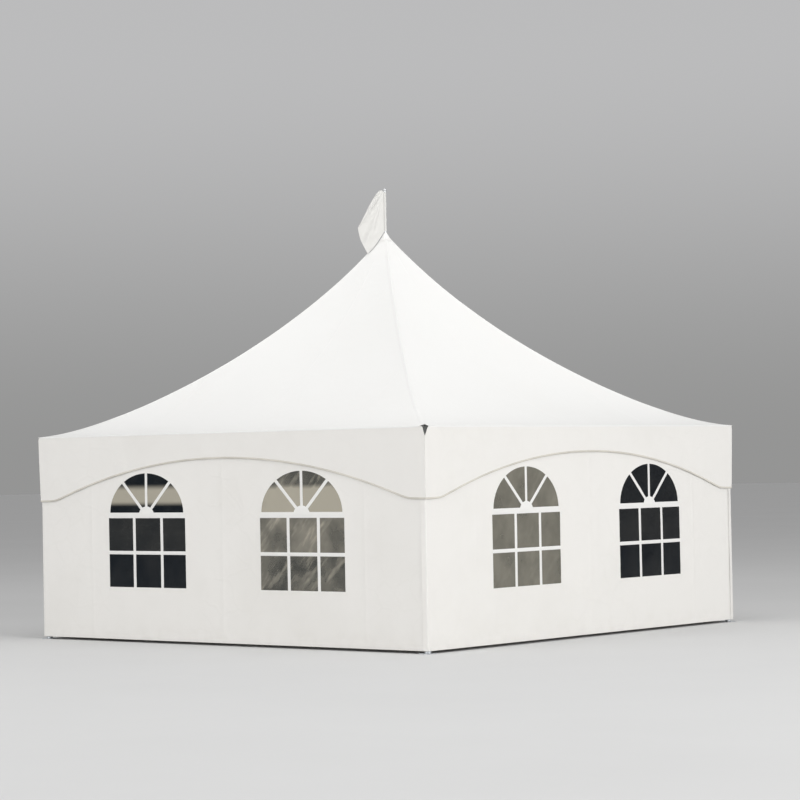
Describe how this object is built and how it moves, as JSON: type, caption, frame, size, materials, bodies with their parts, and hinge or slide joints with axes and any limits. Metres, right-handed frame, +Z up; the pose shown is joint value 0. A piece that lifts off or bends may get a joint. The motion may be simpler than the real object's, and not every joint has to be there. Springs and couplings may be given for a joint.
{
  "type": "marquee tent",
  "caption": "Square high-peak frame marquee with a swept vinyl roof, arched valances, side walls with arched clear windows, a tube frame and a small flag.",
  "frame": {"origin": "on the ground, at the middle of the square plan, under the peak", "axes": "+Z up; the walls run along X and Y; the front wall faces -Y and the right wall faces +X"},
  "size_m": [6.096, 6.096, 5.4684],
  "materials": {
    "white_vinyl": "satin coated vinyl",
    "clear_vinyl": "clear flexible sheet",
    "aluminium": "mill satin",
    "dark_casting": "dark grey paint",
    "galvanised_steel": "hot-dip galvanised",
    "steel_cable": "galvanised strand",
    "flag_cloth": "plain woven"
  },
  "bodies": {
    "root": {"canopy": "white_vinyl", "valance_front": "white_vinyl", "valance_right": "white_vinyl", "valance_back": "white_vinyl", "valance_left": "white_vinyl", "side_wall_front": "white_vinyl", "side_wall_right": "white_vinyl", "side_wall_back": "white_vinyl", "side_wall_left": "white_vinyl", "window_front_left": "clear_vinyl", "window_front_right": "clear_vinyl", "window_right_left": "clear_vinyl", "window_right_right": "clear_vinyl", "window_back_left": "clear_vinyl", "window_back_right": "clear_vinyl", "window_left_left": "clear_vinyl", "window_left_right": "clear_vinyl", "eave_beam_front": "aluminium", "eave_beam_right": "aluminium", "eave_beam_back": "aluminium", "eave_beam_left": "aluminium", "corner_crown_front_right": "dark_casting", "corner_crown_back_right": "dark_casting", "corner_crown_back_left": "dark_casting", "corner_crown_front_left": "dark_casting", "leg_front_right": "aluminium", "leg_back_right": "aluminium", "leg_back_left": "aluminium", "leg_front_left": "aluminium", "base_plate_front_right": "galvanised_steel", "base_plate_back_right": "galvanised_steel", "base_plate_back_left": "galvanised_steel", "base_plate_front_left": "galvanised_steel", "stay_cable_front_right": "steel_cable", "stay_cable_back_right": "steel_cable", "stay_cable_back_left": "steel_cable", "stay_cable_front_left": "steel_cable", "mast_foot": "galvanised_steel", "mast": "aluminium", "mast_head": "galvanised_steel", "peak_boot": "white_vinyl", "flag_staff": "aluminium", "flag": "flag_cloth"}
  },
  "joints": []
}
